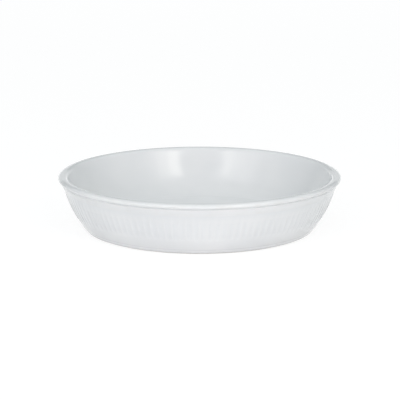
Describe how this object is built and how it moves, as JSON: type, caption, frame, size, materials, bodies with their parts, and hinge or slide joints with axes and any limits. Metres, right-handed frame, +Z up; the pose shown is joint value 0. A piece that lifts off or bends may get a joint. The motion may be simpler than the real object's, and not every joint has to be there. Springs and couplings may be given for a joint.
{
  "type": "pie dish",
  "caption": "Round white glazed stoneware pie dish with a rolled bead rim, a band of fine vertical flutes on its sloping wall, and a bare foot ring.",
  "frame": {"origin": "middle of the plane that the dish stands on, under the centre of the foot ring", "axes": "+Z up along the axis that the dish is turned on; X and Y lie in the plane that it stands on"},
  "size_m": [0.27, 0.27, 0.052],
  "materials": {
    "bare_stoneware": "bare fired clay, matt",
    "white_glaze": "glossy white glaze"
  },
  "bodies": {
    "root": {"stoneware_body": "bare_stoneware", "glaze_coat": "white_glaze", "base_glaze": "white_glaze"}
  },
  "joints": []
}
